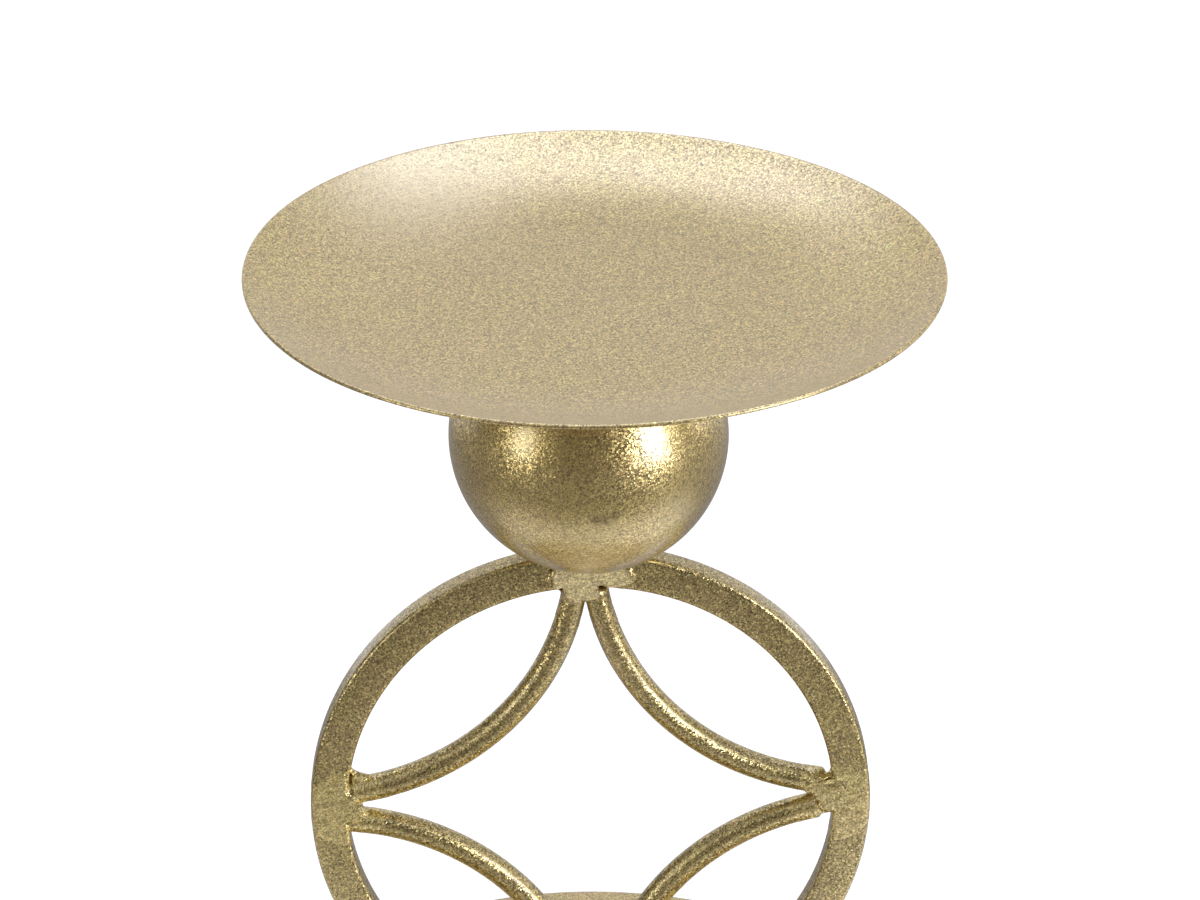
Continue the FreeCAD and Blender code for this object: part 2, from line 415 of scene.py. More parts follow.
@dataclass(frozen=True)
class ChampagneCoat:
    """Champagne gold metallic lacquer, with the grain of its flakes.

    Coarse patches are grainier and lighter, ground ones brushed, with their own colour, and smudges dark. On
    the pan a ground patch is a painted reflection, and on the ball its paler colour is partly one.
    """

    name: str
    gold: Colour = (0.57, 0.443, 0.174)
    warm: Colour = (0.582, 0.439, 0.186)
    dark: Colour = (0.29, 0.205, 0.08)
    tone_size: float = 9 * MM
    tone_range: tuple[float, float] = (0.35, 0.65)
    level: float = 1.0
    roughness: float = 0.34
    worn_size: float = 4 * MM
    worn_range: float = 0.10
    coat_roughness: float = 0.22
    coat_weight: float = 1.0
    coat_ior: float = 1.56
    flake_size: float = 0.23 * MM
    flake_tilt: float = 0.30
    flake_shade: float = 3.2
    grain_size: float = 0.26 * MM
    grain_height: float = 0.009 * MM
    swell_size: float = 2.4 * MM
    swell_height: float = 0.016 * MM
    pit_size: float = 1.4 * MM
    pit_share: float = 0.27
    pit_edge: float = 0.05
    pit_depth: float = 1.3
    pit_dark: float = 0.75
    dot_share: float = 0.2
    dot_range: tuple[float, float] = (0.42, 0.30)
    coarse: tuple[Patch, ...] = ()
    coarse_grain: float = 1.1
    coarse_dots: float = 0.3
    coarse_lift: float = 0.10
    # Ground patches: brushed areas with their own colour, which is also used for painted reflection, on the
    # pan and in part on the ball
    ground: tuple[Patch, ...] = ()
    ground_and_painted_light_colour: Colour = (0.62, 0.50, 0.25)
    ground_roughness: float = 0.55
    ground_metal: float = 0.35
    ground_calm: float = 0.45
    smudge: tuple[Patch, ...] = ()
    smudge_dark: float = 0.8
    brush_size: float = 0.16 * MM
    brush_stretch: tuple[float, float, float] = (0.09, 1.0, 1.0)
    brush_height: float = 2.8
    brush_depth: float = 0.9

    def masks(self, shader: Shader, place: object, patches: Sequence[Patch]) -> object:
        """The masks of some patches together.

        Args:
            shader: The material's node bench.
            place: The coordinate socket.
            patches: The patches.

        Returns:
            The mask socket, or 0 where there is no patch.
        """
        total: object = 0.0
        for patch in patches:
            mask = patch.mask(shader, place)
            total = mask if total == 0.0 else shader.math("MAXIMUM", total, mask)
        return total

    def make(self) -> bpy.types.Material:
        """Builds the material.

        Returns:
            The material.
        """
        material = bpy.data.materials.new(self.name)
        shader = Shader(material)
        place = shader.add("TexCoord").outputs["Object"]
        coarse = self.masks(shader, place, self.coarse)
        ground = self.masks(shader, place, self.ground)
        smudge = self.masks(shader, place, self.smudge)

        flakes = shader.add("TexVoronoi", {"feature": "F1"}, Vector=place, Scale=1 / self.flake_size)
        flake = shader.vector("SUBTRACT", flakes.outputs["Color"], (0.5, 0.5, 0.5))
        tilt = shader.vector("SCALE", flake, self.flake_tilt)
        fine = shader.grain(place, self.grain_size, detail=2.0, roughness=0.6)
        swell = shader.grain(place, self.swell_size)
        pits = shader.grain(place, self.pit_size, detail=2.0, roughness=0.7)
        pits = shader.step(pits, self.pit_share, self.pit_share - self.pit_edge)
        brush = shader.grain(shader.vector("MULTIPLY", place, self.brush_stretch), self.brush_size)
        brush = shader.math("MULTIPLY", shader.math("SUBTRACT", brush, 0.5), ground)

        height = shader.math("MULTIPLY", fine, shader.math("MULTIPLY_ADD", coarse, self.coarse_grain, 1.0))
        height = shader.math("MULTIPLY_ADD", swell, self.swell_height / self.grain_height, height)
        height = shader.math("MULTIPLY_ADD", pits, -self.pit_depth, height)
        height = shader.math("MULTIPLY_ADD", brush, self.brush_height * self.brush_depth, height)
        bump = shader.add("Bump", None, Strength=1.0, Distance=self.grain_height, Height=height)
        normal = shader.vector("NORMALIZE", shader.vector("ADD", bump.outputs[0], tilt))

        tone = shader.step(shader.grain(place, self.tone_size, detail=2.0), *self.tone_range)
        # Ground patches take their own colour: painted reflection on the pan, partly painted reflection on
        # the ball
        colour = shader.mix(ground, shader.mix(tone, self.gold, self.warm), self.ground_and_painted_light_colour)
        dots = shader.math("MULTIPLY", shader.step(fine, *self.dot_range),
                           shader.math("MULTIPLY_ADD", coarse, self.coarse_dots, self.dot_share))
        for share in (dots, shader.math("MULTIPLY", pits, self.pit_dark),
                      shader.math("MULTIPLY", smudge, self.smudge_dark)):
            colour = shader.mix(share, colour, self.dark)
        bright = shader.vector("DOT_PRODUCT", flakes.outputs["Color"], (1 / 3,) * 3)
        strength = shader.math("MULTIPLY_ADD", ground, -self.ground_calm * self.flake_shade, self.flake_shade)
        shade = shader.math("POWER", shader.math("ADD", bright, 0.5), strength)
        level = shader.math("MULTIPLY_ADD", coarse, self.coarse_lift, self.level)
        shade = shader.math("MULTIPLY", shade, shader.math("MULTIPLY_ADD", brush, self.brush_depth, level))
        colour = shader.vector("SCALE", colour, shade)

        worn = shader.grain(place, self.worn_size, detail=2.0)
        roughness = shader.math("MULTIPLY_ADD", worn, self.worn_range, self.roughness - self.worn_range / 2)
        roughness = shader.add("Mix", {"data_type": "FLOAT"}, i0=ground, i2=roughness,
                               i3=self.ground_roughness).outputs[0]
        metal = 1.0 if ground == 0.0 else shader.math("MULTIPLY_ADD", ground, self.ground_metal - 1.0, 1.0)
        surface = shader.add("BsdfPrincipled", None, Base_Color=colour, Metallic=metal, Roughness=roughness,
                             Normal=normal, Coat_Weight=self.coat_weight, Coat_Roughness=self.coat_roughness,
                             Coat_IOR=self.coat_ior, Coat_Normal=bump.outputs[0])
        shader.add("OutputMaterial", None, Surface=surface.outputs[0])
        return material


@dataclass(frozen=True)
class OliveCoat(ChampagneCoat):
    """The lacquer on the bar, the rods and the welds, a little more olive."""

    gold: Colour = (0.56, 0.449, 0.186)
    warm: Colour = (0.57, 0.446, 0.198)


@dataclass(frozen=True)
class DarkFelt:
    """Thin dark felt, matted and a little fluffy."""

    name: str = "dark_felt"
    dark: Colour = (0.012, 0.011, 0.010)
    light: Colour = (0.045, 0.041, 0.037)
    fibre: float = 0.25 * MM
    fibre_range: tuple[float, float] = (0.3, 0.75)
    clump: float = 3.0 * MM
    clump_range: tuple[float, float] = (0.2, 0.7)
    clump_low: float = 0.6
    roughness: float = 0.95
    nap: float = 0.15 * MM
    sheen: float = 0.4

    def make(self) -> bpy.types.Material:
        """Builds the material.

        Returns:
            The material.
        """
        material = bpy.data.materials.new(self.name)
        shader = Shader(material)
        place = shader.add("TexCoord").outputs["Object"]
        fibres = shader.grain(place, self.fibre, detail=4.0, roughness=0.7)
        clumps = shader.grain(place, self.clump, detail=3.0)
        clumps = shader.step(clumps, *self.clump_range, self.clump_low, 1.0)
        share = shader.math("MULTIPLY", shader.step(fibres, *self.fibre_range), clumps)
        bump = shader.add("Bump", None, Strength=1.0, Distance=self.nap, Height=fibres)
        surface = shader.add("BsdfPrincipled", None, Base_Color=shader.mix(share, self.dark, self.light),
                             Roughness=self.roughness, Sheen_Weight=self.sheen, Normal=bump.outputs[0])
        shader.add("OutputMaterial", None, Surface=surface.outputs[0])
        return material


def dress(piece: Piece, material: bpy.types.Material) -> None:
    """Gives a piece one material."""
    piece.data.materials.clear()
    piece.data.materials.append(material)


# Sub-assemblies


@dataclass
class DripPan:
    """The spun pan: a flat floor and a curved wall, its rim a little out of true."""

    node: str = "drip_pan"
    sheet: float = 1.0 * MM
    floor_radius: float = 32.0 * MM
    segments: int = 288
    floor_rings: int = 14
    wall_rings: int = 22
    rim_round: float = 0.46 * MM
    rim_thin: float = 0.20
    thin_range: tuple[float, float] = (46 * MM, 59 * MM)
    # The rim is a little out of true: its mean drop, its saddle and its lean to each side
    rim_drop: float = 0.20 * MM
    rim_saddle: float = 0.28 * MM
    rim_lean: float = 0.10 * MM
    dent_height: float = 0.03 * MM
    dent_size: float = 17 * MM
    dent_reach: float = 50 * MM
    # How far the rim stays inside the model's box
    play: float = 0.01 * MM

    def __post_init__(self) -> None:
        """Reads the pan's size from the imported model."""
        low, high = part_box(self.node)
        self.radius = high.x
        self.underside = low.z
        self.rim = high.z
        self.floor = self.underside + self.sheet
        run = self.radius - self.sheet / 2 - self.floor_radius
        rise = self.rim - self.floor
        bend = (run ** 2 + rise ** 2) / (2 * rise)
        self.inner_bend = bend - self.sheet / 2
        self.turn = 2 * math.atan(rise / run)

    def warp(self, place: Vector) -> Vector:
        """A point of the pan, moved as the hand-set rim is.

        Args:
            place: The point.

        Returns:
            Its new place.
        """
        out = math.hypot(place.x, place.y)
        way = math.atan2(place.y, place.x)
        lean = self.rim_lean * (math.cos(way) + math.sin(way))
        saddle = min(0.0, lean - self.rim_drop - self.rim_saddle * math.sin(2 * way))
        saddle *= ease(out, self.floor_radius, self.radius)
        dents = unevenness(Vector((place.x, place.y, 0)), self.dent_size, self.dent_height)
        dents *= ease(out, 0, self.dent_reach)
        thin = self.rim_thin * max(0.0, self.upper(out) - place.z) * ease(out, *self.thin_range)
        lift = min(self.rim - self.play - place.z, saddle + min(0.0, dents) + thin)
        return place + Vector((0, 0, lift))

    def upper(self, out: float) -> float:
        """The height of the pan's inside, that far from its axis."""
        run = max(0.0, min(out - self.floor_radius, self.inner_bend))
        return self.floor + self.inner_bend - math.sqrt(self.inner_bend ** 2 - run ** 2)

    def build(self) -> Piece:
        """Draws the pan's inside, thickens it, rounds its rim and brings it to size.

        Returns:
            The finished pan.
        """
        pan = self.draw_sheet()
        modify(pan, "SOLIDIFY", thickness=self.sheet, offset=-1.0, use_even_offset=True)
        modify(pan, "BEVEL", width=self.rim_round, segments=5, limit_method="ANGLE",
               angle_limit=math.radians(60))
        widest = max(point.co.xy.length for point in pan.data.vertices)
        highest = max(point.co.z for point in pan.data.vertices)
        grow = (self.radius - 2 * self.play - self.floor_radius) / (widest - self.floor_radius)
        lift = self.rim - highest

        def full_size(place: Vector) -> Vector:
            """A point of the wall, moved out and up to the model's rim."""
            out = place.xy.length
            if out <= self.floor_radius:
                return place
            scale = (self.floor_radius + (out - self.floor_radius) * grow) / out
            up = lift * (out - self.floor_radius) / (widest - self.floor_radius)
            return Vector((place.x * scale, place.y * scale, place.z + up))

        move_points(pan, full_size)
        move_points(pan, self.warp)
        return close_up(pan, "pan", smooth_angle=50.0)

    def draw_sheet(self) -> Piece:
        """Draws the pan's inside as one sheet, its wall pulled up ring by ring from the floor's disc.

        Returns:
            The sheet, facing up.
        """
        pan = disc(self.segments, self.floor_radius, (0, 0, self.floor))
        edit(pan)
        ring = self.floor_radius / self.floor_rings
        for _ in range(self.floor_rings - 1):
            bpy.ops.mesh.inset(thickness=ring, use_even_offset=False)
        bpy.ops.mesh.poke()
        pick(pan, Part.EDGE, lambda edge: edge.is_boundary)
        before = Vector((self.floor_radius, 0, self.floor))
        for k in range(1, self.wall_rings + 1):
            turned = self.turn * k / self.wall_rings
            out = self.floor_radius + self.inner_bend * math.sin(turned)
            now = Vector((out, 0, self.floor + self.inner_bend * (1 - math.cos(turned))))
            bpy.ops.mesh.extrude_region_move(TRANSFORM_OT_translate={"value": (0, 0, now.z - before.z)})
            grow = now.x / before.x
            bpy.ops.transform.resize(value=(grow, grow, 1), center_override=(0, 0, 0))
            before = now
        face_out()
        faces = bmesh.from_edit_mesh(pan.data).faces
        if min(faces, key=lambda face: face.calc_center_median().xy.length).normal.z < 0:
            bpy.ops.mesh.flip_normals()
        bake(pan)
        return pan

    def dress(self) -> ChampagneCoat:
        """The pan's finish, coarser at its right, its back right and its left, and painted paler at its back
        left: a painted reflection of the light overhead in its wall.

        Returns:
            The finish.
        """
        foot = Vector((0, 0, self.underside))
        coarse = tuple(Patch(foot + Vector((x, y, 0)) * MM, inner * MM, outer * MM)
                       for x, y, inner, outer in ((52, 8, 4, 26), (28, 50, 1, 9), (-50, 6, 1, 22)))
        # Painted reflection: a paler patch on the back left of the pan's wall, where the light overhead is
        # reflected
        glow = (Patch(foot + Vector((-32, 40, 4)) * MM, 0.0, 32 * MM),)
        return ChampagneCoat("pan_coat", coarse=coarse, coat_roughness=0.28, flake_size=0.25 * MM,
                             flake_shade=2.3, flake_tilt=0.08, grain_size=0.29 * MM, grain_height=0.007 * MM,
                             dot_share=0.08, pit_share=0.22, coat_ior=1.66, ground=glow,
                             ground_and_painted_light_colour=(0.70, 0.565, 0.295), ground_metal=1.0, ground_roughness=0.34,
                             brush_depth=0.15)


@dataclass
class Ball:
    """The hollow ball, its seam ground away, flattened a little under the pan."""

    nodes: tuple[str, str] = ("ball_lower_half", "ball_upper_half")
    cuts: int = 47
    swell: float = 0.05 * MM
    swell_size: float = 13 * MM
    # The ball isn't worked over this near to its flat top
    flat: float = 0.05 * MM

    def __post_init__(self) -> None:
        """Reads the ball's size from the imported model."""
        low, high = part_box(self.nodes[0])
        self.radius = (high.x - low.x) / 2
        self.centre = Vector(((high.x + low.x) / 2, 0, high.z))
        self.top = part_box(self.nodes[1])[1].z

    def press(self, place: Vector) -> Vector:
        """A point of the ball, in or out a little as the presses and the grinder left it."""
        out = (place - self.centre).normalized()
        depth = unevenness(place, self.swell_size, self.swell, seed=3.0) - self.swell
        return place + out * depth if place.z < self.top - self.flat else place

    def build(self) -> Piece:
        """Rounds a subdivided cube into a ball, cuts it flat under the pan and works it over.

        Returns:
            The finished ball.
        """
        let_go()
        bpy.ops.mesh.primitive_cube_add(size=2 * self.radius, location=self.centre)
        ball = active()
        edit(ball)
        bpy.ops.mesh.subdivide(number_cuts=self.cuts)
        select_all()
        work = bmesh.from_edit_mesh(ball.data)
        for point in work.verts:
            point.co = point.co.normalized() * self.radius
        bmesh.update_edit_mesh(ball.data)
        cut_level(self.top, 1)
        bake(ball)
        move_points(ball, self.press)
        return close_up(ball, "ball")

    def dress(self) -> ChampagneCoat:
        """The ball's finish, brushed and painted paler low on its front, partly as a painted reflection of
        the floor below, with a dark smudge above that.

        Returns:
            The finish.
        """
        smudge = tuple(Patch(self.centre + Vector((across, -23.5, down)) * MM, 0.4 * MM, wide * MM)
                       for across, down, wide in ((0.6, -5.0, 1.3), (2.1, -4.7, 1.7), (3.9, -4.2, 1.4)))
        # Brushed ground patch low on the front; its paler colour is partly painted reflection of the floor
        # below
        foot = Patch(self.centre + Vector((0, -20.4, -12.8)) * MM, 1.0 * MM, 11 * MM)
        return ChampagneCoat("ball_coat", roughness=0.33, coat_roughness=0.20, coat_ior=1.58, flake_tilt=0.26,
                             flake_shade=2.2, smudge=smudge, ground=(foot,), ground_metal=0.75,
                             ground_and_painted_light_colour=(0.72, 0.585, 0.29), ground_roughness=0.40, brush_depth=1.5)


@dataclass(frozen=True)
class PhotoView:
    """The photograph's camera and frame."""

    place: Vector = field(default_factory=lambda: Vector((-0.0365, -1.2959, 0.7514)))
    pitch: float = 0.4523
    turn: float = 0.0289
    roll: float = 0.0018
    lens: float = 251.92
    sensor: float = 36.0
    width: int = 1200
    height: int = 900

    def axes(self) -> tuple[Vector, Vector, Vector]:
        """The camera's ways ahead, right and up."""
        ahead = Vector((math.cos(self.pitch) * math.sin(self.turn),
                        math.cos(self.pitch) * math.cos(self.turn), -math.sin(self.pitch)))
        level = Vector((math.cos(self.turn), -math.sin(self.turn), 0))
        right = math.cos(self.roll) * level + math.sin(self.roll) * level.cross(ahead)
        return ahead, right, right.cross(ahead)

    def on_plane(self, across: float, down: float, y: float) -> Vector:
        """The point of an upright plane that a pixel of the photograph shows.

        Args:
            across: The pixel's distance from the frame's left edge.
            down: Its distance from the frame's top edge.
            y: The plane's place.

        Returns:
            The point.
        """
        ahead, right, up = self.axes()
        ray = ahead * (self.lens / self.sensor * self.width)
        ray += right * (across - self.width / 2) - up * (down - self.height / 2)
        return self.place + ray * ((y - self.place.y) / ray.y)


@dataclass
class HoopWork:
    """The hoop's and the rods' shared sizes."""

    bar_width: float = 6.4 * MM
    bar_depth: float = 5.1 * MM
    edge_radius: float = 0.8 * MM
    edge_steps: int = 6
    end_gap: float = 14.0 * MM
    rod_radius: float = 2.3 * MM
    rod_points: int = 40
    rod_end_round: float = 0.9 * MM
    rod_end_share: float = 0.45
    foot_flat: float = 0.5 * MM
    bite: float = 0.6 * MM
    crown_taper: float = 0.07
    taper_length: float = 15 * MM
    # How far each rod's bend sits off its place by symmetry, to the right and up
    shifts: dict[Corner, tuple[float, float]] = field(default_factory=lambda: {
        Corner.UPPER_LEFT: (-0.15 * MM, -0.6 * MM),
        Corner.UPPER_RIGHT: (-1.95 * MM, 0.6 * MM),
        Corner.LOWER_LEFT: (2.1 * MM, -0.9 * MM),
        Corner.LOWER_RIGHT: (0.6 * MM, 1.5 * MM),
    })
    # How far short of the bar a rod's end stops, where a weld bridges the rest
    short: dict[tuple[Corner, Joint], float] = field(default_factory=lambda: {
        (Corner.UPPER_RIGHT, Joint.CROWN): 0.5 * MM,
        (Corner.UPPER_RIGHT, Joint.RIGHT): 1.2 * MM,
        (Corner.LOWER_RIGHT, Joint.RIGHT): 2.0 * MM,
    })

    def __post_init__(self) -> None:
        """Reads the hoop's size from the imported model."""
        low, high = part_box("hoop")
        self.outer = (high.x - low.x) / 2
        self.inner = self.outer - self.bar_width
        self.middle = (self.outer + self.inner) / 2
        self.hub = Vector(((high.x + low.x) / 2, 0, low.z + self.outer - self.foot_flat))
        self.star_bend = self.middle + self.rod_radius

    def tip(self, joint: Joint) -> Vector:
        """The middle of a joint on the bar's inner face."""
        return self.hub + self.inner * Vector((joint.value[0], 0, joint.value[1]))

    def bend_centre(self, corner: Corner) -> Vector:
        """The centre of a rod's bend."""
        x_way, z_way = corner.value
        x_shift, z_shift = self.shifts[corner]
        return self.hub + Vector((x_way * self.star_bend + x_shift, 0, z_way * self.star_bend + z_shift))

    def joints(self, corner: Corner) -> tuple[Joint, Joint]:
        """The joints at a rod's two ends: the crown or foot, then the side."""
        x_way, z_way = corner.value
        return (Joint.CROWN if z_way > 0 else Joint.FOOT), (Joint.RIGHT if x_way > 0 else Joint.LEFT)

    def rod_end(self, corner: Corner, joint: Joint) -> float:
        """Where a rod ends at a joint.

        Args:
            corner: The rod's corner.
            joint: The joint.

        Returns:
            The angle about the centre of the rod's bend.
        """
        x_way, z_way = corner.value
        away = self.hub - self.bend_centre(corner)
        reach = self.inner - self.short.get((corner, joint), -self.bite)
        cosine = (self.middle ** 2 + away.length_squared - reach ** 2) / (2 * self.middle * away.length)
        side = -1 if joint in (Joint.CROWN, Joint.FOOT) else 1
        return math.atan2(away.z, away.x) + math.acos(cosine) * side * x_way * z_way

    def sweep_bar(self, start: float, sweep: float, steps: int) -> Piece:
        """Spins the bar's rounded section round the hub.

        Args:
            start: Where it starts, in radians above the right side.
            sweep: How far it turns.
            steps: How many steps it takes.

        Returns:
            The swept bar, with its ends closed.
        """
        let_go()
        bpy.ops.mesh.primitive_plane_add(size=1.0, location=(0, 0, 0))
        bar = active()
        edit(bar)
        bpy.ops.transform.resize(value=(self.bar_width, self.bar_depth, 1))
        bpy.ops.mesh.bevel(offset=self.edge_radius, offset_type="OFFSET", segments=self.edge_steps,
                           affect="VERTICES", profile=0.5)
        select_all()
        bpy.ops.transform.translate(value=(self.middle, 0, 0))
        self.spin(bar, self.hub, start, sweep, steps)
        return bar

    def spin(self, piece: Piece, centre: Vector, start: float, sweep: float, steps: int) -> None:
        """Spins the flat section that is open in edit mode about an axis along Y, and closes both ends.

        Args:
            piece: The section.
            centre: The middle of its turn.
            start: Where it starts, in radians above the right side.
            sweep: How far it turns.
            steps: How many steps it takes.
        """
        bpy.ops.mesh.delete(type="ONLY_FACE")
        select_all()
        bpy.ops.mesh.spin(steps=steps, angle=sweep, center=(0, 0, 0), axis=(0, 1, 0))
        bpy.ops.mesh.select_mode(type="EDGE")
        bpy.ops.mesh.select_all(action="DESELECT")
        bpy.ops.mesh.select_non_manifold()
        bpy.ops.mesh.edge_face_add()
        face_out()
        take(piece)
        piece.data.transform(Matrix.Translation(centre) @ Matrix.Rotation(-start, 4, "Y"))

    def sweep_rod(self, corner: Corner, start: float, end: float, steps: int) -> Piece:
        """Spins a rod's round section about its bend, and works its ends.

        Args:
            corner: The rod's corner.
            start: The angle about the bend's centre where it starts.
            end: The angle where it ends.
            steps: How many steps it takes.

        Returns:
            The swept rod, with its ends closed.
        """
        rod = disc(self.rod_points, self.rod_radius, (self.middle, 0, 0))
        bake(rod)
        edit(rod)
        centre = self.bend_centre(corner)
        self.spin(rod, centre, start, end - start, steps)
        ends = [self.rod_end(corner, joint) for joint in self.joints(corner)]

        def drawn(place: Vector) -> Vector:
            """A point of the rod after its ends are drawn down."""
            way = Vector((place.x - centre.x, 0, place.z - centre.z)).normalized()
            turned = math.atan2(way.z, way.x)
            away = [abs(math.remainder(turned - angle, 2 * math.pi)) * self.middle for angle in ends]
            share = 1.0
            if corner.value[1] > 0:
                share -= self.crown_taper * (1 - ease(away[0], 0, self.taper_length))
            near = min(away) / self.rod_end_round
            if near < 1:
                share *= max(self.rod_end_share, math.sqrt(1 - (1 - near) ** 2))
            middle = centre + self.middle * way
            return middle + (place - middle) * share

        move_points(rod, drawn)
        return rod


@dataclass
class Hoop:
    """The bent bar."""

    work: HoopWork
    steps: int = 300

    def build(self) -> Piece:
        """Spins the bar and cuts its foot flat.

        Returns:
            The finished hoop.
        """
        work = self.work
        half_gap = math.asin(work.end_gap / 2 / work.middle)
        bar = work.sweep_bar(math.pi / 2 + half_gap, 2 * math.pi - 2 * half_gap, self.steps)
        edit(bar)
        cut_level(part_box("hoop")[0].z, -1)
        return close_up(bar, "hoop_bar", smooth_angle=60.0)


@dataclass
class StarRods:
    """The four bent rods of the star."""

    work: HoopWork
    steps: int = 180

    def build(self, corner: Corner) -> Piece:
        """Spins one rod.

        Args:
            corner: The rod's corner.

        Returns:
            The finished rod.
        """
        start, end = (self.work.rod_end(corner, joint) for joint in self.work.joints(corner))
        end = start + math.remainder(end - start, 2 * math.pi)
        rod = self.work.sweep_rod(corner, start, end, self.steps)
        return close_up(rod, f"rod_{corner.name.lower()}", smooth_angle=60.0)


@dataclass(frozen=True)
class Dab:
    """A bead that stands out of a weld's front, or a pit in it, at a pixel of the photograph."""

    across: float
    down: float
    wide: float
    height: float
    tall: float = 0.0
    lean: float = 0.0

    def lift(self, place: Vector, view: PhotoView, face: float) -> float:
        """How far it moves a point of the front towards the viewer.

        Args:
            place: The point.
            view: The photograph's camera.
            face: The Y of the front that the dab's pixel was read on.

        Returns:
            The height in metres, less than 0 in a pit.
        """
        away = place - view.on_plane(self.across, self.down, face)
        turned = math.radians(self.lean)
        along = away.x * math.cos(turned) + away.z * math.sin(turned)
        over = away.z * math.cos(turned) - away.x * math.sin(turned)
        tall = self.tall or self.wide
        return self.height * MM * math.exp(-(along / (self.wide * MM)) ** 2 - (over / (tall * MM)) ** 2)


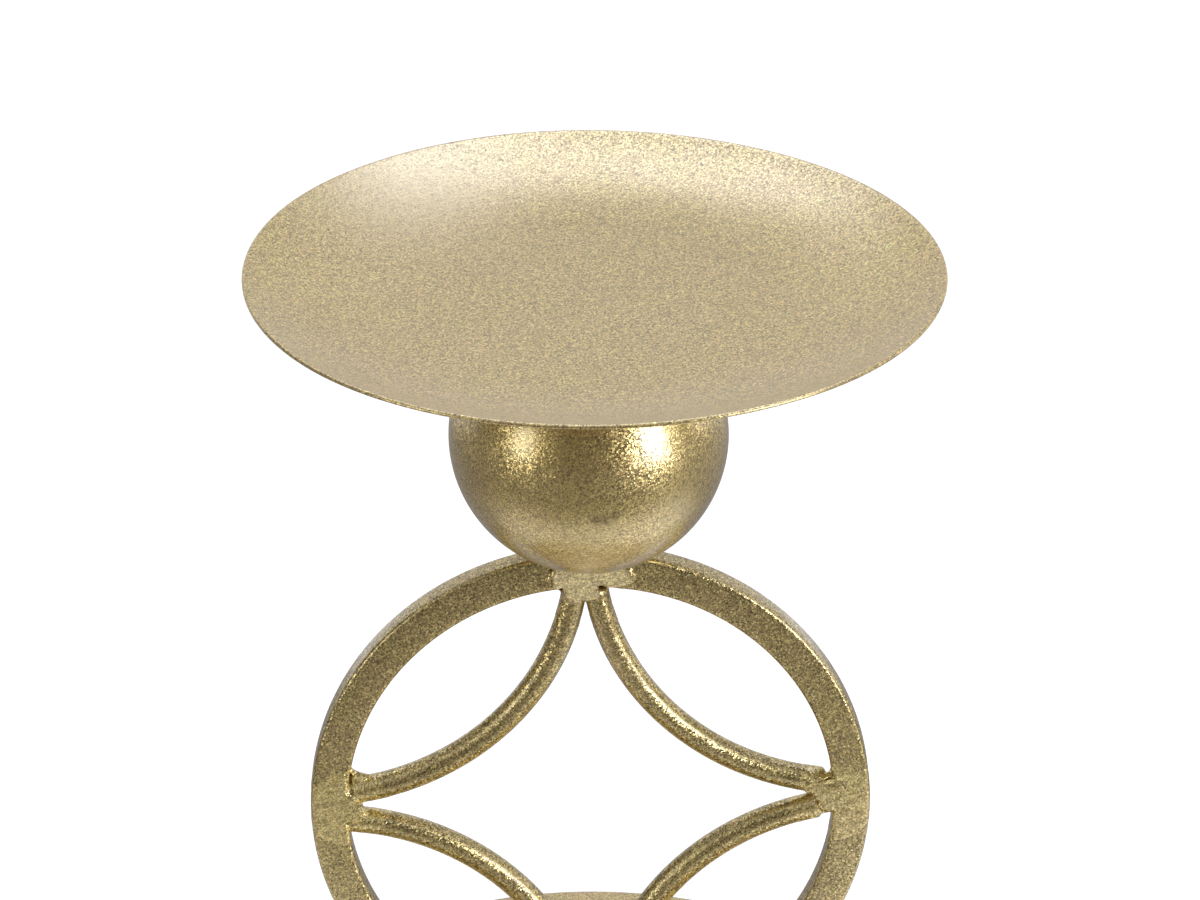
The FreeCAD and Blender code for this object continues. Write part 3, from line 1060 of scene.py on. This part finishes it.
@dataclass
class StarWelds:
    """The welds at the star's four points, flush with the bar, which run out over the bar and the rods."""

    work: HoopWork
    view: PhotoView = field(default_factory=PhotoView)
    voxel: float = 0.17 * MM
    soften: int = 4
    # How far the plates lie behind the bar's face, how far the weld is proud of the bar, and its waver
    relief: float = 0.04 * MM
    proud: float = 0.045 * MM
    waver: float = 0.05 * MM
    waver_size: float = 1.3 * MM
    stub: float = 13 * MM
    bar_steps: int = 60
    rod_steps: int = 50
    # How deep a weld's ends run in under the bar, and from where to where along Y its front is worked over
    sink: float = 0.3 * MM
    front_range: tuple[float, float] = (0.5 * MM, -1.0 * MM)
    slope_range: tuple[float, float] = (0.2 * MM, 3.2 * MM)
    fade: dict[Joint, tuple[float, float]] = field(default_factory=lambda: {
        Joint.CROWN: (8.4 * MM, 11.5 * MM), Joint.FOOT: (7.5 * MM, 11 * MM),
        Joint.LEFT: (7.0 * MM, 10.5 * MM), Joint.RIGHT: (7.0 * MM, 10.5 * MM),
    })
    # Outlines of the flush ground metal, in the photograph's pixels
    outlines: dict[Joint, Outline] = field(default_factory=lambda: {
        Joint.CROWN: ((548, 566), (551, 585), (557.5, 589.5), (562, 592.5), (563.5, 598), (575, 600.5),
                      (583, 601), (586, 603), (589, 601), (597, 599), (599, 593), (597, 588), (606, 587),
                      (620, 588), (634, 582), (634, 566)),
        Joint.LEFT: ((336, 786), (346, 795.5), (351, 797), (355.5, 799), (358, 802), (359, 806), (360.5, 810),
                     (362, 815), (360, 820), (356, 824), (352, 825), (349, 826), (336, 834)),
        Joint.RIGHT: ((846, 779), (836, 777), (829, 779.5), (820, 781), (811, 783), (804, 788), (805, 792),
                      (811, 793.5), (812.5, 797), (815.5, 799), (817.5, 802.5), (818.5, 807), (822, 810),
                      (826, 810.8), (834, 811.3), (846, 813)),
    })
    # Metal that fills the corners behind the flush faces: half its depth in millimetres, then its outline
    necks: dict[Joint, tuple[tuple[float, Outline], ...]] = field(default_factory=lambda: {
        Joint.CROWN: (
            (1.6, ((546, 584), (555, 588.5), (559.5, 591), (562, 595), (563, 602), (572, 604), (572, 584))),
        ),
        Joint.LEFT: (
            (1.2, ((338, 759), (348, 764.5), (351, 768), (355, 771.0), (360, 773.0), (366, 774.4),
                   (371, 775.4), (364, 780), (338, 792))),
            (1.3, ((346, 798), (358, 798.5), (361.3, 801), (362.2, 804), (362.6, 808), (366, 813), (368, 822),
                   (346, 822))),
            (1.8, ((338, 806), (358, 806), (368, 818), (368, 831.5), (360, 829.5), (354, 827.5), (350, 826),
                   (338, 832))),
        ),
        Joint.RIGHT: (
            (1.3, ((812, 771.5), (820, 772.5), (824, 773.8), (827, 773.2), (830, 771.6), (833, 769.3),
                   (842, 767), (842, 800), (812, 792))),
            (2.0, ((806, 808), (808, 819.5), (817.5, 816.5), (823, 813), (828.5, 811.8), (842, 812),
                   (842, 800), (812, 798))),
        ),
    })
    # How far a plate's walls turn towards the view: 0 stands square, 1 lies along the view
    slants: dict[Joint, float] = field(default_factory=lambda: {
        Joint.CROWN: 0.0, Joint.LEFT: 0.85, Joint.RIGHT: 0.85,
    })
    slopes: dict[Joint, float] = field(default_factory=lambda: {
        Joint.CROWN: 0.12 * MM, Joint.LEFT: 0.28 * MM, Joint.RIGHT: 0.10 * MM, Joint.FOOT: 0.2 * MM,
    })
    # The foot's outline is out of the photograph, so it is given from the hoop's middle, in millimetres
    foot_outline: Outline = (
        (-9, -44.5), (-5.2, -42.6), (-2.9, -41.6), (-2.6, -39.4), (-0.4, -38.3), (0.5, -37.9), (1.5, -38.4),
        (4.1, -39.6), (4.7, -41.7), (7.2, -42.6), (10.5, -44.5),
    )
    # The crown's bright ground areas: a pixel, then their full and their whole reach in millimetres
    ground: tuple[tuple[float, float, float, float], ...] = (
        (577, 595, 1.3, 2.5), (590, 594, 0.9, 2.0), (566, 580, 1.9, 2.7), (580, 584, 2.4, 3.0),
        (596, 578, 1.9, 2.6), (614, 578, 1.7, 2.6), (624, 578, 1.0, 1.8),
    )
    dabs: dict[Joint, tuple[Dab, ...]] = field(default_factory=lambda: {
        Joint.CROWN: (
            Dab(550, 570, 0.26, -0.8, 0.6, 20), Dab(554.5, 577, 0.34, 0.55, 0.5),
            Dab(547.5, 578.5, 0.28, 0.40), Dab(551, 581, 0.22, -0.6), Dab(631, 575.5, 0.50, 0.60, 0.8, -10),
            Dab(629, 570.5, 0.35, 0.35), Dab(634, 572, 0.22, -0.4, 0.5), Dab(633, 580, 0.3, -0.3),
            Dab(601, 588.5, 0.62, -1.5, 0.30, -12), Dab(602, 583.0, 0.85, 0.30, 0.18, -14),
            Dab(603, 586, 0.8, -0.35, 0.16, -14), Dab(597, 591.5, 0.30, 0.35),
            Dab(561.5, 591.5, 0.34, -1.3, 0.42), Dab(563, 594.5, 0.20, 0.3), Dab(562, 598, 0.25, 0.15),
            Dab(582, 597.3, 2.6, -0.09, 0.13, 2), Dab(575, 580, 2.0, 0.05, 0.5, 4),
            Dab(612, 587, 1.1, -0.25, 0.14, -8),
        ),
        Joint.LEFT: (
            Dab(349.0, 780.5, 0.26, -1.6, 2.0, 12), Dab(352.6, 777, 0.28, 0.7, 0.5),
            Dab(349.6, 786, 0.15, 0.55, 0.6, 10), Dab(346.6, 795.6, 0.22, 0.22),
            Dab(344, 800, 0.7, -0.14, 0.5), Dab(352, 793, 0.3, -0.3), Dab(353.5, 800.5, 0.4, 0.15),
            Dab(361, 807, 0.34, 0.34), Dab(366.4, 815.5, 0.25, 0.30), Dab(363, 812, 0.3, -0.16),
            Dab(350, 824.7, 0.4, -1.2, 0.3), Dab(374.5, 816, 0.2, 0.12), Dab(356, 812, 0.8, 0.10),
            Dab(349, 812, 0.9, -0.06),
        ),
        Joint.RIGHT: (
            Dab(817, 777.6, 1.3, 0.70, 0.24, -22), Dab(831, 778.6, 1.3, 0.65, 0.22, 12),
            Dab(825.5, 780, 0.35, 0.30), Dab(837, 783.5, 1.0, -0.20, 0.45, 5),
            Dab(829.5, 784, 0.9, -0.14, 0.4), Dab(813.5, 799.5, 0.34, -0.7, 0.5, -50),
            Dab(817.5, 804, 0.30, -0.55, 0.5, -40), Dab(830, 774.5, 0.7, -1.1, 0.28, -8),
            Dab(811.5, 796, 0.28, -0.45, 0.4), Dab(845, 789, 0.22, 0.12), Dab(851, 795, 0.22, 0.14),
            Dab(861, 797, 0.22, 0.12),
        ),
        Joint.FOOT: (),
    })

    @property
    def face(self) -> float:
        """The Y of the bar's front face."""
        return -self.work.bar_depth / 2

    def plate(self, outline: Sequence[Vector], half: float, slant: Vector = Vector()) -> Piece:
        """A plate of weld metal.

        Args:
            outline: The points of its outline.
            half: Half its depth.
            slant: How far its back lies off its front.

        Returns:
            The plate, a closed solid.
        """
        plate = flat_face([Vector((place.x, -half, place.z)) for place in outline])
        edit(plate)
        bpy.ops.mesh.extrude_region_move(TRANSFORM_OT_translate={"value": (slant.x, 2 * half, slant.z)})
        select_all()
        bpy.ops.mesh.quads_convert_to_tris()
        face_out()
        return plate

    def plates(self, joint: Joint) -> list[Piece]:
        """The flush metal of a joint, and what fills its corners behind that.

        Args:
            joint: The joint.

        Returns:
            The plates.
        """
        half = self.work.bar_depth / 2 - self.relief
        if joint is Joint.FOOT:
            outline = [self.work.hub + Vector((x * MM, 0, z * MM)) for x, z in self.foot_outline]
            return [self.plate(outline, half)]
        return [self.prism(joint, self.outlines[joint], half),
                *(self.prism(joint, pixels, depth * MM) for depth, pixels in self.necks[joint])]

    def prism(self, joint: Joint, pixels: Outline, half: float) -> Piece:
        """A plate whose front the photograph shows.

        Args:
            joint: The joint, whose slant its walls take.
            pixels: Its outline in the photograph.
            half: Half its depth.

        Returns:
            The plate.
        """
        outline = [self.view.on_plane(across, down, -half) for across, down in pixels]
        behind = self.view.on_plane(*pixels[0], half)
        return self.plate(outline, half, (behind - outline[0]) * self.slants[joint])

    def stubs(self, joint: Joint) -> list[Piece]:
        """The lengths of the bar and of the rods that a weld runs out over.

        Args:
            joint: The joint.

        Returns:
            The lengths.
        """
        work = self.work
        half = self.stub / work.middle
        at = math.atan2(joint.value[1], joint.value[0])
        stubs = [work.sweep_bar(at - half, 2 * half, self.bar_steps)]
        for corner in Corner:
            if joint not in work.joints(corner):
                continue
            first, last = work.joints(corner)
            start = work.rod_end(corner, joint)
            other = work.rod_end(corner, last if joint is first else first)
            way = math.copysign(1.0, math.remainder(other - start, 2 * math.pi))
            stubs.append(work.sweep_rod(corner, start, start + way * half, self.rod_steps))
        return stubs

    def build(self, joint: Joint) -> Piece:
        """Runs a joint's pieces together and works its front over.

        Args:
            joint: The joint.

        Returns:
            The finished weld.
        """
        weld = join([*self.plates(joint), *self.stubs(joint)])
        modify(weld, "REMESH", mode="VOXEL", voxel_size=self.voxel)
        modify(weld, "SMOOTH", factor=0.5, iterations=self.soften)

        def sloped(place: Vector) -> Vector:
            """A point of the flush face, ground down a little towards the star's middle."""
            inward = self.work.inner - Vector((place.x - self.work.hub.x, place.z - self.work.hub.z)).length
            limit = -self.face - self.slopes[joint] * ease(inward, *self.slope_range)
            return Vector((place.x, max(-limit, min(limit, place.y)), place.z))

        move_points(weld, sloped)
        modify(weld, "SMOOTH", factor=0.5, iterations=self.soften)
        self.work_over(weld, joint)
        return close_up(weld, f"weld_{joint.name.lower()}", smooth_angle=180.0)

    def work_over(self, weld: Piece, joint: Joint) -> None:
        """Presses the beads and pits into a weld, and lets its ends run out under the bar and the rods.

        Args:
            weld: The weld.
            joint: The joint.
        """
        tip = self.work.tip(joint)
        near, far = self.fade[joint]
        dabs = self.dabs[joint]
        moved = []
        for point in weld.data.vertices:
            place, normal = point.co.copy(), point.normal.copy()
            share = 1 - ease((place - tip).length, near, far)
            out = self.proud * share - self.sink * (1 - share)
            out += unevenness(place, self.waver_size, self.waver) * share
            front = ease(place.y, *self.front_range)
            lift = sum(dab.lift(place, self.view, self.face) for dab in dabs) if front > 0 else 0.0
            moved.append(place + normal * out - Vector((0, lift * front, 0)))
        for point, place in zip(weld.data.vertices, moved):
            point.co = place
        weld.data.update()

    def crown_coat(self) -> ChampagneCoat:
        """The crown's finish, with its bright ground areas.

        Returns:
            The finish.
        """
        ground = tuple(Patch(self.view.on_plane(across, down, self.face), inner * MM, outer * MM)
                       for across, down, inner, outer in self.ground)
        return ChampagneCoat("crown_coat", level=0.80, ground=ground, ground_and_painted_light_colour=(0.72, 0.58, 0.265),
                             ground_metal=0.1)


@dataclass
class Base:
    """The round base plate, and the weld that holds the hoop's foot."""

    edge_radius: float = 1.4 * MM
    foot_edge: float = 0.35 * MM
    segments: int = 192
    ring_shares: tuple[float, ...] = (0.15, 0.15, 0.2, 0.25)
    weld_voxel: float = 0.3 * MM
    beads: int = 9
    bead_radius: float = 2.6 * MM
    # The beads' taper to the mound's ends, and their height as a share of the mound's, with its change
    taper_share: float = 0.15
    height_share: float = 0.95
    height_change_share: float = 0.04

    def build_plate(self) -> Piece:
        """Draws the plate up from a disc and rounds its edges.

        Returns:
            The finished plate.
        """
        low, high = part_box("base_plate")
        plate = disc(self.segments, high.y, (0, 0, low.z))
        edit(plate)
        bpy.ops.mesh.extrude_region_move(TRANSFORM_OT_translate={"value": (0, 0, high.z - low.z)})
        face_out()
        for level, width in ((high.z - low.z, self.edge_radius), (0.0, self.foot_edge)):
            pick(plate, Part.EDGE,
                 lambda edge: all(abs(point.co.z - level) < MERGE / 2 for point in edge.verts))
            bpy.ops.mesh.bevel(offset=width, segments=8, affect="EDGES")
        pick(plate, Part.FACE,
             lambda face: abs(face.normal.z) > 0.99 and face.calc_center_median().xy.length < MM)
        for share in self.ring_shares:
            bpy.ops.mesh.inset(thickness=share * high.y, use_even_offset=False)
        return close_up(plate, "plate")

    def build_weld(self) -> Piece:
        """Lays the weld mound at the hoop's foot as a row of overlapping beads.

        Returns:
            The finished weld.
        """
        low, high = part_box("base_weld")
        middle, half = (low + high) / 2, (high - low) / 2
        beads = []
        for side in (-1, 1):
            for k in range(self.beads):
                share = 2 * k / (self.beads - 1) - 1
                wide = self.bead_radius * (1 - self.taper_share * abs(share))
                let_go()
                bpy.ops.mesh.primitive_uv_sphere_add(
                    segments=24, ring_count=12, radius=wide,
                    location=(middle.x + share * (half.x - wide), side * (half.y - wide), low.z))
                bead = active()
                tall = self.height_share + self.height_change_share * math.sin(3 * k)
                bead.scale = (1.0, 1.0, (high.z - low.z) / wide * tall)
                bake(bead)
                beads.append(bead)
        weld = join(beads)
        modify(weld, "REMESH", mode="VOXEL", voxel_size=self.weld_voxel)
        modify(weld, "SMOOTH", factor=0.5, iterations=6)
        edit(weld)
        cut_level(low.z, -1)
        return close_up(weld, "weld_base", smooth_angle=50.0)


@dataclass
class PanWeld:
    """The bead between the ball and the pan."""

    beads: int = 26
    ripple: float = 0.12 * MM
    segments: int = 208
    ripple_shares: tuple[float, float] = (0.75, 0.9)
    # The bead's hollow section, in shares of its reach and of its height
    section_shares: Outline = (
        (0.80, 0.0), (0.885, 0.30), (0.945, 0.62), (0.99, 0.93), (0.99, 1.0), (0.60, 1.0), (0.60, 0.2),
        (0.72, 0.0),
    )

    def build(self) -> Piece:
        """Spins the bead's hollow section round the ball's axis and ripples it.

        Returns:
            The finished bead.
        """
        low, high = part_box("pan_weld")
        axis = Vector(((low.x + high.x) / 2, 0, 0))
        reach = (high.x - low.x) / 2
        bead = flat_face([Vector((out * reach, 0, low.z + up * (high.z - low.z)))
                          for out, up in self.section_shares])
        edit(bead)
        bpy.ops.mesh.delete(type="ONLY_FACE")
        select_all()
        bpy.ops.mesh.spin(steps=self.segments, angle=2 * math.pi, center=(0, 0, 0), axis=(0, 0, 1))
        take(bead)

        def rippled(place: Vector) -> Vector:
            """A point of the bead on its rippled front."""
            turned = math.atan2(place.y, place.x)
            near, far = (share * reach for share in self.ripple_shares)
            share = ease(math.hypot(place.x, place.y), near, far) * ease(place.z, high.z, low.z)
            out = 1 - self.ripple / reach * (1 + math.cos(self.beads * turned)) * share
            return axis + Vector((place.x * out, place.y * out, place.z))

        move_points(bead, rippled)
        modify(bead, "SUBSURF", levels=1, render_levels=1)
        return close_up(bead, "weld_pan", smooth_angle=70.0)


@dataclass(frozen=True)
class Lamp:
    """One soft box, aimed at the holder."""

    name: str
    turn: float
    height: float
    away: float
    wide: float
    tall: float
    level: float
    colour: Colour = WHITE

    def hang(self, aim: Vector) -> None:
        """Hangs the soft box.

        Args:
            aim: The point that it faces.
        """
        turn, height = math.radians(self.turn), math.radians(self.height)
        way = Vector((math.sin(turn) * math.cos(height), -math.cos(turn) * math.cos(height),
                      math.sin(height)))
        data = bpy.data.lights.new(self.name, "AREA")
        data.shape = "RECTANGLE"
        data.size, data.size_y = self.wide, self.tall
        data.energy = self.level * math.pi * self.wide * self.tall
        data.color = self.colour
        lamp = bpy.data.objects.new(self.name, data)
        bpy.context.scene.collection.objects.link(lamp)
        lamp.location = aim + self.away * way
        lamp.rotation_euler = way.to_track_quat("Z", "Y").to_euler()
        lamp.visible_camera = False


@dataclass
class Studio:
    """The floor, the light and the camera."""

    floor_size: float = 8.0
    floor_white: float = 0.82
    floor_glow: float = 0.42
    # What the metal sees of the floor: bright near the part, behind it and at its right, dim elsewhere
    near_middle: tuple[float, float, float] = (0.03, -0.03, 0.0)
    near_shape: tuple[float, float, float] = (0.6, 1.25, 1.0)
    near_range: tuple[float, float] = (0.035, 0.152)
    far_range: tuple[float, float] = (0.27, 0.50)
    side_range: tuple[float, float] = (0.12, 0.23)
    side_level: float = 0.12
    floor_dim: float = 0.27
    floor_tint: Colour = (1.0, 0.93, 0.80)
    # What the metal sees of the room: dark in front, light behind, and bluish overhead
    back_way: tuple[float, float, float] = (0.13, 0.99, 0.0)
    back_range: tuple[float, float] = (0.45, 0.88)
    top_range: tuple[float, float] = (0.3, 0.8)
    room_back: Colour = (0.73, 0.705, 0.68)
    room_dark: Colour = (0.20, 0.176, 0.138)
    room_top: Colour = (0.66, 0.67, 0.71)
    clip: tuple[float, float] = (0.05, 50.0)
    aim: Vector = field(default_factory=lambda: Vector((0, 0, 0.11)))
    lamps: tuple[Lamp, ...] = (
        Lamp("key_box", 54, 12, 1.2, 0.42, 0.60, 9.5, (0.98, 1.0, 1.12)),
        Lamp("fill_box", -57, 9, 1.2, 0.36, 0.46, 3.8),
        Lamp("side_box", 106, 10, 1.2, 0.40, 0.50, 1.8),
        Lamp("top_box", 146, 64, 1.4, 2.1, 0.58, 1.45, (0.88, 0.98, 1.52)),
    )
    view: PhotoView = field(default_factory=PhotoView)

    def lay_floor(self) -> None:
        """Lays the pale floor, which stays white where it is lit and keeps the holder's shadow."""
        let_go()
        bpy.ops.mesh.primitive_plane_add(size=self.floor_size, location=(0, 0, 0))
        floor = active()
        floor.name = "floor"
        material = bpy.data.materials.new("pale_floor")
        shader = Shader(material)
        path = shader.add("LightPath").outputs
        glossy = path["Is Glossy Ray"]
        seen = shader.math("MAXIMUM", glossy, path["Is Transmission Ray"])
        seen = shader.math("MAXIMUM", path["Is Camera Ray"], seen)
        place = shader.add("TexCoord").outputs["Object"]
        away = shader.vector("MULTIPLY", shader.vector("SUBTRACT", place, self.near_middle), self.near_shape)
        near = shader.step(shader.vector("LENGTH", away), *self.near_range, 1.0, 0.0)
        axes = shader.add("SeparateXYZ", None, Vector=place).outputs
        bright = shader.math("MAXIMUM", near, shader.step(axes["Y"], *self.far_range))
        side = shader.step(axes["X"], *self.side_range, 0.0, self.side_level)
        dull = shader.math("SUBTRACT", 1.0, shader.math("MAXIMUM", bright, side))
        dim = shader.math("MULTIPLY", dull, 1.0 - self.floor_dim)
        keep = shader.math("SUBTRACT", 1.0, shader.math("MULTIPLY", glossy, dim))
        tint = shader.mix(shader.math("MULTIPLY", glossy, dull), WHITE, self.floor_tint)
        white = shader.vector("SCALE", tint, shader.math("MULTIPLY", keep, self.floor_white))
        diffuse = shader.add("BsdfDiffuse", None, Color=white)
        glow = shader.math("MULTIPLY", shader.math("MULTIPLY", seen, self.floor_glow), keep)
        light = shader.add("Emission", None, Color=tint, Strength=glow)
        both = shader.add("AddShader", None, i0=diffuse.outputs[0], i1=light.outputs[0])
        shader.add("OutputMaterial", None, Surface=both.outputs[0])
        dress(floor, material)

    def light_world(self) -> None:
        """Lights the room: white to the camera, and for the metal bright behind and darker in front."""
        world = bpy.data.worlds.new("studio")
        bpy.context.scene.world = world
        shader = Shader(world)
        path = shader.add("LightPath").outputs
        way = shader.add("TexCoord").outputs["Generated"]
        axes = shader.add("SeparateXYZ", None, Vector=way)
        level = shader.vector("NORMALIZE", shader.vector("MULTIPLY", way, (1.0, 1.0, 0.0)))
        back = shader.step(shader.vector("DOT_PRODUCT", level, self.back_way), *self.back_range)
        room = shader.mix(back, self.room_dark, self.room_back)
        room = shader.mix(shader.step(axes.outputs["Z"], *self.top_range), room, self.room_top)
        seen = shader.math("MAXIMUM", path["Is Camera Ray"], path["Is Transmission Ray"])
        colour = shader.mix(seen, room, WHITE)
        light = shader.add("Background", None, Color=colour, Strength=1.0)
        shader.add("OutputWorld", None, Surface=light.outputs[0])

    def place_camera(self) -> None:
        """Sets the camera as the photograph's."""
        ahead, right, up = self.view.axes()
        data = bpy.data.cameras.new("camera")
        data.lens = self.view.lens
        data.sensor_width = self.view.sensor
        data.clip_start, data.clip_end = self.clip
        camera = bpy.data.objects.new("camera", data)
        bpy.context.scene.collection.objects.link(camera)
        turned = Matrix((right, up, -ahead)).transposed().to_4x4()
        camera.matrix_world = Matrix.Translation(self.view.place) @ turned
        bpy.context.scene.camera = camera

    def set_up(self) -> None:
        """Lays the floor, lights the room and places the camera."""
        self.lay_floor()
        self.light_world()
        for lamp in self.lamps:
            lamp.hang(self.aim)
        self.place_camera()


def main() -> None:
    """Builds the holder and its studio."""
    logging.basicConfig(level=logging.INFO, format="%(message)s")
    bpy.context.scene.view_settings.view_transform = "Standard"
    pan, ball, work, base = DripPan(), Ball(), HoopWork(), Base()
    rods, welds = StarRods(work), StarWelds(work)
    # Painted shade: the bar and the rods take the lacquer darker (level 0.78) to match their dark fronts; the
    # welds take it at level 1.05
    bar_coat = OliveCoat("bar_coat", level=0.78, coat_ior=1.45).make()
    weld_coat = OliveCoat("weld_coat", level=1.05, flake_shade=2.6, coat_ior=1.5).make()
    crown_coat = welds.crown_coat().make()
    base_coat = ChampagneCoat("base_coat", flake_shade=2.0).make()
    dress(seat(pan.build(), Slot.METAL, pan.node), pan.dress().make())
    dress(seat(ball.build(), Slot.METAL, *ball.nodes), ball.dress().make())
    dress(seat(Hoop(work).build(), Slot.METAL, "hoop"), bar_coat)
    for corner in Corner:
        dress(seat(rods.build(corner), Slot.METAL, corner.node), bar_coat)
    for joint in Joint:
        coat = crown_coat if joint is Joint.CROWN else weld_coat
        dress(seat(welds.build(joint), Slot.WELD, joint.node), coat)
    dress(seat(PanWeld().build(), Slot.WELD, "pan_weld"), weld_coat)
    dress(seat(base.build_plate(), Slot.METAL, "base_plate"), base_coat)
    dress(seat(base.build_weld(), Slot.WELD, "base_weld"), weld_coat)
    dress(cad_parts["base_felt"], DarkFelt().make())
    Studio().set_up()


if __name__ == "__main__":
    main()
